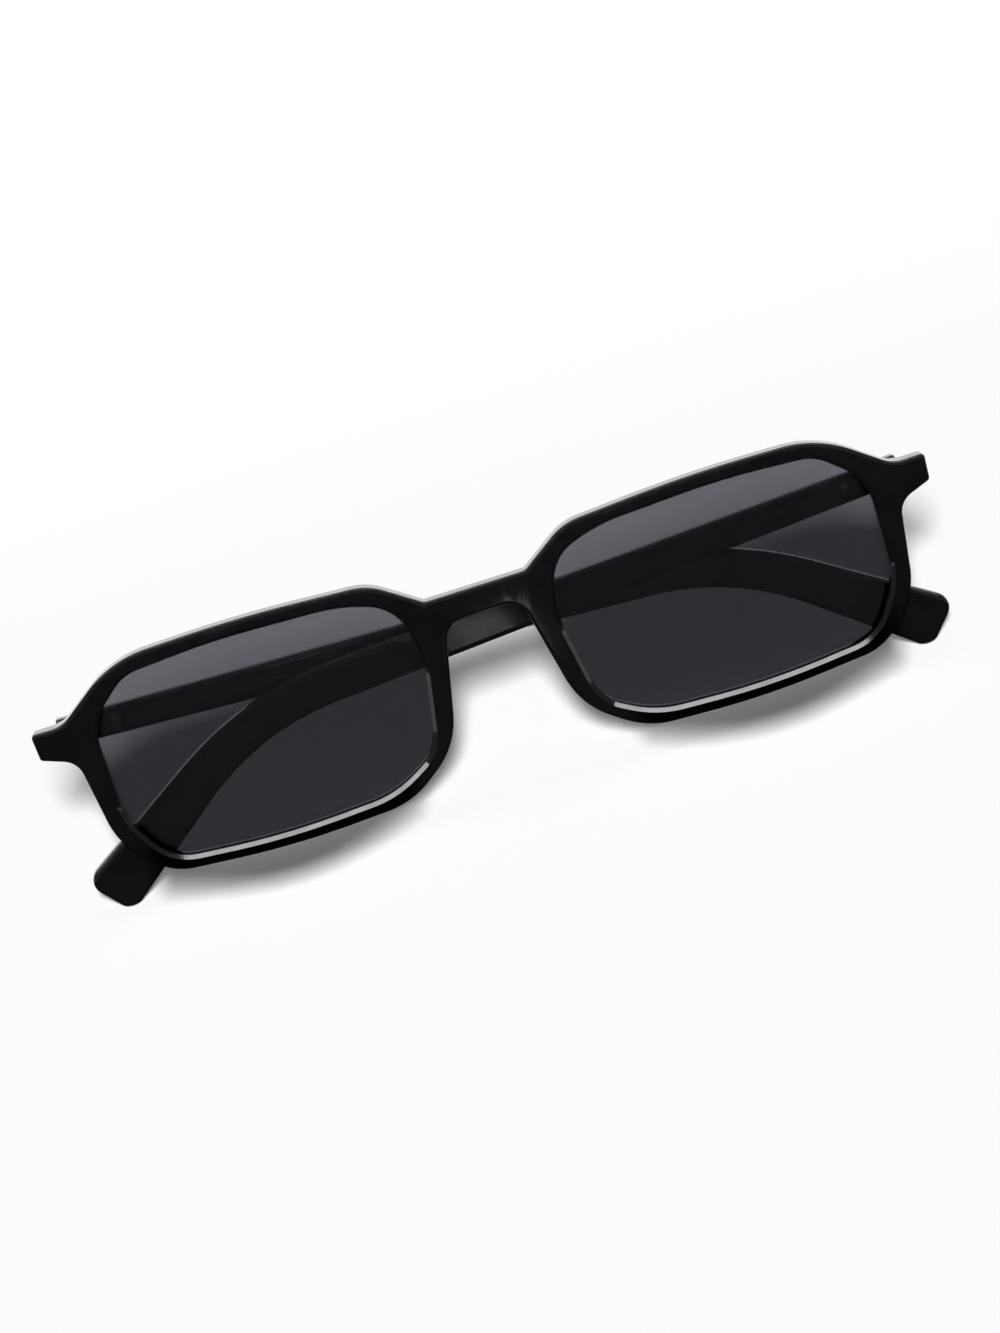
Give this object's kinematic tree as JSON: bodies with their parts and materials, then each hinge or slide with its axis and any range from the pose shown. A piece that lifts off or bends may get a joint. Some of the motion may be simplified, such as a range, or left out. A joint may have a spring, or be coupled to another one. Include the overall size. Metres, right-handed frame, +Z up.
{
  "type": "narrow rectangle sunglasses",
  "caption": "Narrow rectangular full-rim sunglasses with smoke lenses, flared endpieces and folding temples on barrel hinges.",
  "frame": {"origin": "middle of the folded part's outer size, on the surface that its temple tips stand on", "axes": "+X across the front to the wearer's left, +Y from the front to the back, +Z up towards the brow"},
  "size_m": [0.1446, 0.0214, 0.0396],
  "materials": {
    "black_acetate": "polished gloss black acetate",
    "nose_rest": "satin black acetate, bonded to the rims",
    "smoke_lens": "clear gloss, even smoke grey tint",
    "hinge_metal": "satin nickel silver",
    "screw_steel": "bright stainless steel",
    "core_wire": "drawn wire",
    "nylon": "natural nylon"
  },
  "bodies": {
    "front": {"front_frame": "black_acetate", "lens_left": "smoke_lens", "lens_right": "smoke_lens", "nose_pad_left": "nose_rest", "nose_pad_right": "nose_rest", "front_hinge_left": "hinge_metal", "front_hinge_right": "hinge_metal", "hinge_screw_left": "screw_steel", "hinge_screw_right": "screw_steel", "hinge_washers_left": "nylon", "hinge_washers_right": "nylon", "front_leaf_screws_left": "screw_steel", "front_leaf_screws_right": "screw_steel"},
    "left_temple": {"temple_left": "black_acetate", "temple_hinge_left": "hinge_metal", "temple_leaf_screws_left": "screw_steel", "temple_core_left": "core_wire"},
    "right_temple": {"temple_right": "black_acetate", "temple_hinge_right": "hinge_metal", "temple_leaf_screws_right": "screw_steel", "temple_core_right": "core_wire"}
  },
  "joints": [
    {"name": "left_temple_fold", "type": "hinge", "parent": "front", "child": "left_temple", "pos_m": [0.06725, 0.00173, 0.02894], "axis": [0, 0, -1], "range_deg": [0, 91.7]},
    {"name": "right_temple_fold", "type": "hinge", "parent": "front", "child": "right_temple", "pos_m": [-0.06725, 0.00173, 0.02894], "axis": [0, 0, 1], "range_deg": [0, 88.3]}
  ]
}
